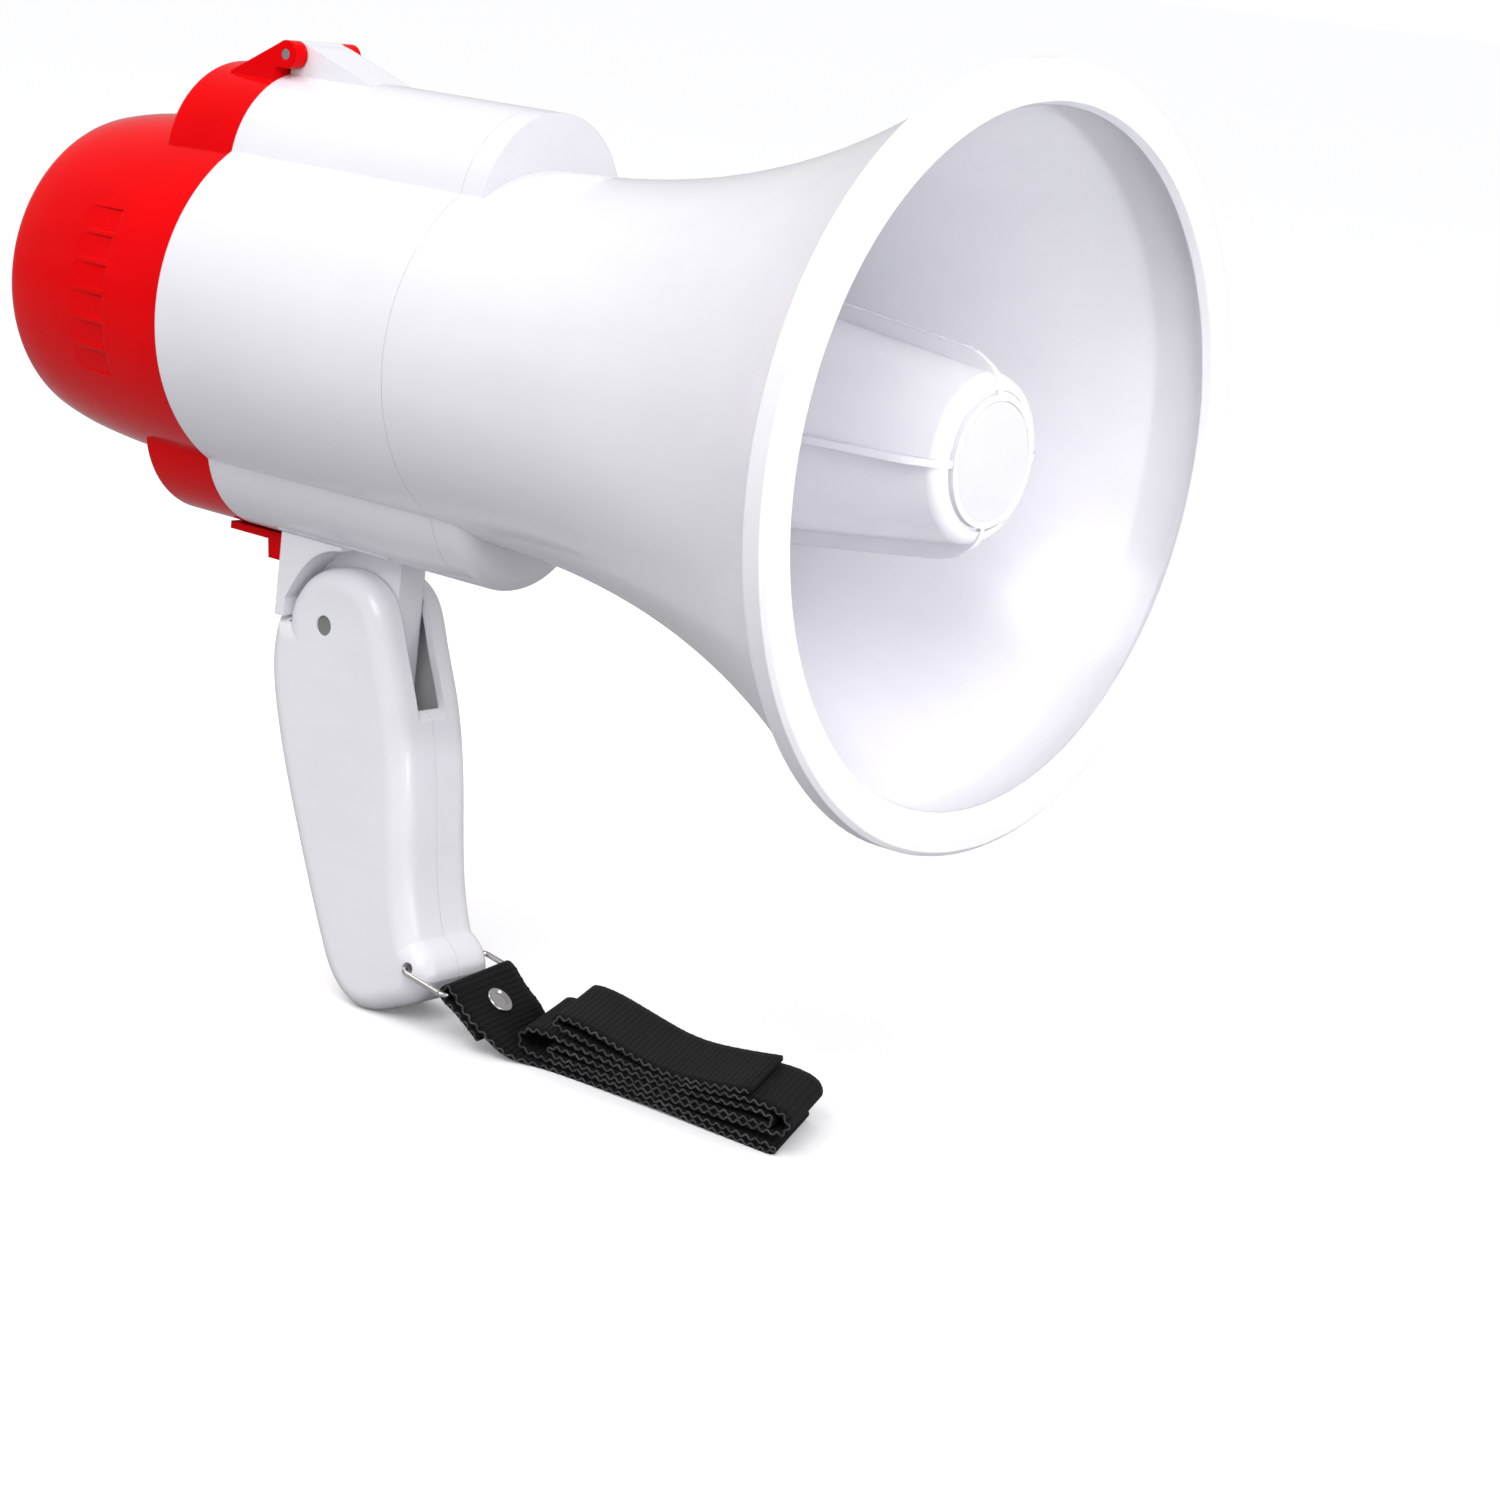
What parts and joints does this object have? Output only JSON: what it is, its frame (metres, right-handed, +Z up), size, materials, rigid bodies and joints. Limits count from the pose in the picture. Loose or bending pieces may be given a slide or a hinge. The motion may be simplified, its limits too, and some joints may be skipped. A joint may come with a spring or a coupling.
{
  "type": "handheld megaphone",
  "caption": "Handheld megaphone: flaring bell horn, cylindrical body, hinged rear unit with push buttons, folding pistol handle and wrist strap.",
  "frame": {"origin": "on the floor under the middle of the overall box", "axes": "+X along the horn axis towards the bell mouth, +Z up, handle below the body"},
  "size_m": [0.264, 0.16, 0.236],
  "materials": {
    "shell_white": "glossy injection-moulded white",
    "rim_white": "satin white trim",
    "disc_grey": "pale grey disc",
    "tray_grey": "dark inner moulding",
    "film": "amber film",
    "copper": "wound wire",
    "steel": "plated",
    "ferrite": "fired ceramic",
    "battery_wrap": "wrapped cell",
    "cap_red": "glossy red",
    "plate_silver": "brushed pale silver",
    "button_red": "glossy red",
    "switch_black": "black",
    "board_green": "solder mask",
    "light_dark": "dark lens",
    "pin_grey": "grey-green",
    "bright_metal": "polished",
    "webbing": "woven black"
  },
  "bodies": {
    "main": {"horn_bell": "shell_white", "bell_rim": "rim_white", "reflector_cup": "shell_white", "nose_disc": "disc_grey", "throat_tube": "tray_grey", "driver_frame": "tray_grey", "diaphragm": "film", "voice_coil": "copper", "driver_plate": "steel", "driver_magnet": "ferrite", "driver_yoke": "steel", "driver_screws": "steel", "body_shell": "shell_white", "battery_tray_top": "tray_grey", "battery_tray_low": "tray_grey", "battery_top_left": "battery_wrap", "battery_top_right": "battery_wrap", "battery_low_left": "battery_wrap", "battery_low_right": "battery_wrap", "front_contacts": "steel", "handle_bracket": "shell_white", "bracket_screws": "steel"},
    "rear_unit": {"rear_cap": "cap_red", "hinge_pin": "steel", "control_panel": "cap_red", "face_plate": "plate_silver", "tact_switches": "switch_black", "circuit_board": "board_green", "board_screws": "steel", "microphone": "steel", "status_light": "light_dark", "contact_carrier": "tray_grey", "rear_contacts": "steel"},
    "latch": {"latch_tab": "cap_red"},
    "handle": {"handle_right": "shell_white", "handle_left": "shell_white", "handle_screws": "steel", "handle_pivot": "pin_grey", "pivot_washers": "steel"},
    "ring": {"wire_ring": "bright_metal"},
    "strap": {"strap": "webbing", "strap_rivet": "bright_metal"},
    "power_button": {"power_button": "button_red"},
    "music_button": {"music_button": "button_red"},
    "record_button": {"record_button": "button_red"},
    "play_button": {"play_button": "button_red"},
    "volume_down_button": {"volume_down_button": "button_red"},
    "volume_up_button": {"volume_up_button": "button_red"}
  },
  "joints": [
    {"name": "rear_unit_swing", "type": "hinge", "parent": "main", "child": "rear_unit", "pos_m": [-0.0725, 0, 0.2136], "axis": [0, 1, 0], "range_deg": [0, 100]},
    {"name": "latch_flex", "type": "hinge", "parent": "rear_unit", "child": "latch", "pos_m": [-0.083, 0, 0.10355], "axis": [0, 1, 0], "range_deg": [0, 6], "stiffness_Nm_per_rad": 1.7},
    {"name": "handle_fold", "type": "hinge", "parent": "main", "child": "handle", "pos_m": [-0.0429, 0, 0.0871], "axis": [0, -1, 0], "range_deg": [0, 55]},
    {"name": "ring_swing", "type": "hinge", "parent": "handle", "child": "ring", "pos_m": [-0.0068, 0, 0.0145], "axis": [0, -1, 0], "range_deg": [-15, 5]},
    {"name": "strap_swing", "type": "hinge", "parent": "ring", "child": "strap", "pos_m": [0.00499, -0.0002, 0.01253], "axis": [0.1587, -0.987, -0.0266], "range_deg": [-75, 0]},
    {"name": "power_button_press", "type": "slide", "parent": "rear_unit", "child": "power_button", "axis": [1, 0, 0], "range_m": [0, 0.0008], "stiffness_N_per_m": 600},
    {"name": "music_button_press", "type": "slide", "parent": "rear_unit", "child": "music_button", "axis": [1, 0, 0], "range_m": [0, 0.0008], "stiffness_N_per_m": 600},
    {"name": "record_button_press", "type": "slide", "parent": "rear_unit", "child": "record_button", "axis": [1, 0, 0], "range_m": [0, 0.0008], "stiffness_N_per_m": 600},
    {"name": "play_button_press", "type": "slide", "parent": "rear_unit", "child": "play_button", "axis": [1, 0, 0], "range_m": [0, 0.0008], "stiffness_N_per_m": 600},
    {"name": "volume_down_button_press", "type": "slide", "parent": "rear_unit", "child": "volume_down_button", "axis": [1, 0, 0], "range_m": [0, 0.0008], "stiffness_N_per_m": 600},
    {"name": "volume_up_button_press", "type": "slide", "parent": "rear_unit", "child": "volume_up_button", "axis": [1, 0, 0], "range_m": [0, 0.0008], "stiffness_N_per_m": 600}
  ],
  "couplings": [
    {"joint": "strap_swing", "follows": "handle_fold", "ratio": -1.3}
  ]
}
